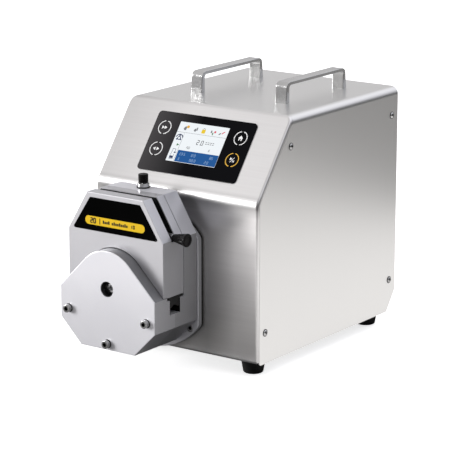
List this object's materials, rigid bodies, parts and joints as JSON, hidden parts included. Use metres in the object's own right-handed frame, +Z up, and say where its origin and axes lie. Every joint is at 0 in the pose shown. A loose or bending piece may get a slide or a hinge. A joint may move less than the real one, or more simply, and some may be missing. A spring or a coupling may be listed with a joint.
{
  "type": "peristaltic pump",
  "caption": "Industrial peristaltic pump: stainless drive with sloped display, carrying handles and a lever-operated clamshell tube head.",
  "frame": {"origin": "under the middle of the whole pump's box, on the surface that its rubber feet stand on", "axes": "+Z up; -Y out of the front, where the pump head is; +X to the right of someone who faces the front"},
  "size_m": [0.2446, 0.417, 0.333],
  "materials": {
    "stainless": "brushed",
    "zinc_steel": "plated",
    "polished_steel": "polished",
    "screw_steel": "satin",
    "shaft_steel": "ground",
    "roller_steel": "polished",
    "lever_steel": "satin",
    "head_aluminium": "fine satin anodised",
    "rubber_black": "matte",
    "plastic_black": "satin",
    "knob_black": "knurled satin",
    "overlay_black": "gloss",
    "screen": "lit liquid crystal",
    "label_film": "gloss film with a yellow bar",
    "board_green": "solder mask",
    "motor_black": "satin",
    "brass": "polished"
  },
  "bodies": {
    "base": {"housing_cover": "stainless", "front_panel": "stainless", "base_plate": "zinc_steel", "rear_panel": "stainless", "rubber_feet": "rubber_black", "foot_screws": "zinc_steel", "handle_left": "polished_steel", "handle_right": "polished_steel", "handle_screws": "zinc_steel", "cover_screws": "screw_steel", "display_overlay": "overlay_black", "lcd_screen": "screen", "display_board": "board_green", "control_board": "board_green", "power_supply": "zinc_steel", "drive_motor": "motor_black", "gearbox": "zinc_steel", "motor_bracket": "zinc_steel", "adapter_plate": "head_aluminium", "adapter_gasket": "rubber_black", "adapter_screws": "screw_steel", "lock_stud": "shaft_steel", "mains_inlet": "plastic_black", "inlet_blades": "brass", "switch_frame": "plastic_black", "signal_connector": "zinc_steel", "fan_frame": "plastic_black", "fan_grille": "polished_steel", "rear_screws": "screw_steel", "head_front_body": "head_aluminium", "head_rear_body": "head_aluminium", "head_body_screws": "screw_steel", "guide_rods": "shaft_steel", "cam_pin": "shaft_steel", "plunger_sleeve": "polished_steel", "plunger_spring": "shaft_steel", "bearing_outer_rings": "shaft_steel"},
    "pressure_block": {"pressure_block": "head_aluminium", "lever_pivot": "shaft_steel", "slot_lining": "plastic_black", "block_label": "label_film", "tube_jaws": "plastic_black"},
    "lever": {"lever_cam": "lever_steel", "lever_grip": "knob_black"},
    "rotor": {"cage_plates": "shaft_steel", "roller_pins": "shaft_steel", "rotor_shaft": "shaft_steel", "bearing_inner_rings": "shaft_steel", "gearbox_shaft": "shaft_steel"},
    "roller_1": {"roller_1": "roller_steel"},
    "roller_2": {"roller_2": "roller_steel"},
    "roller_3": {"roller_3": "roller_steel"},
    "plunger": {"plunger_knob": "knob_black", "plunger_pin": "shaft_steel"},
    "key_forward": {"key_forward": "overlay_black"},
    "key_direction": {"key_direction": "overlay_black"},
    "key_home": {"key_home": "overlay_black"},
    "key_run": {"key_run": "overlay_black"},
    "power_rocker": {"power_rocker": "plastic_black"},
    "fan_rotor": {"fan_rotor": "plastic_black"}
  },
  "joints": [
    {"name": "block_lift", "type": "slide", "parent": "base", "child": "pressure_block", "axis": [0, 0, 1], "range_m": [0, 0.012]},
    {"name": "lever_turn", "type": "hinge", "parent": "pressure_block", "child": "lever", "pos_m": [-0.03, -0.1644, 0.1805], "axis": [0, -1, 0], "range_deg": [0, 188]},
    {"name": "rotor_spin", "type": "hinge", "parent": "base", "child": "rotor", "pos_m": [-0.03, -0.1635, 0.1085], "axis": [0, 1, 0], "continuous": true},
    {"name": "roller_1_spin", "type": "hinge", "parent": "rotor", "child": "roller_1", "pos_m": [-0.03, -0.1635, 0.0855], "axis": [0, 1, 0], "continuous": true},
    {"name": "roller_2_spin", "type": "hinge", "parent": "rotor", "child": "roller_2", "pos_m": [-0.01008, -0.1635, 0.12], "axis": [0, 1, 0], "continuous": true},
    {"name": "roller_3_spin", "type": "hinge", "parent": "rotor", "child": "roller_3", "pos_m": [-0.04992, -0.1635, 0.12], "axis": [0, 1, 0], "continuous": true},
    {"name": "plunger_pull", "type": "slide", "parent": "base", "child": "plunger", "axis": [0, 0, 1], "range_m": [0, 0.005], "stiffness_N_per_m": 900, "springref_m": -0.004, "deforming": ["plunger_spring"]},
    {"name": "key_forward_press", "type": "slide", "parent": "base", "child": "key_forward", "axis": [0, 0.7939, -0.6081], "range_m": [0, 0.0004], "stiffness_N_per_m": 500, "springref_m": -0.0006},
    {"name": "key_direction_press", "type": "slide", "parent": "base", "child": "key_direction", "axis": [0, 0.7939, -0.6081], "range_m": [0, 0.0004], "stiffness_N_per_m": 500, "springref_m": -0.0006},
    {"name": "key_home_press", "type": "slide", "parent": "base", "child": "key_home", "axis": [0, 0.7939, -0.6081], "range_m": [0, 0.0004], "stiffness_N_per_m": 500, "springref_m": -0.0006},
    {"name": "key_run_press", "type": "slide", "parent": "base", "child": "key_run", "axis": [0, 0.7939, -0.6081], "range_m": [0, 0.0004], "stiffness_N_per_m": 500, "springref_m": -0.0006},
    {"name": "power_rocker_flip", "type": "hinge", "parent": "base", "child": "power_rocker", "pos_m": [-0.07, 0.1995, 0.138], "axis": [1, 0, 0], "range_deg": [0, 16]},
    {"name": "fan_spin", "type": "hinge", "parent": "base", "child": "fan_rotor", "pos_m": [0.06, 0.1925, 0.218], "axis": [0, 1, 0], "continuous": true}
  ],
  "couplings": [
    {"joint": "lever_turn", "follows": "block_lift", "rad_per_m": 273.43}
  ]
}
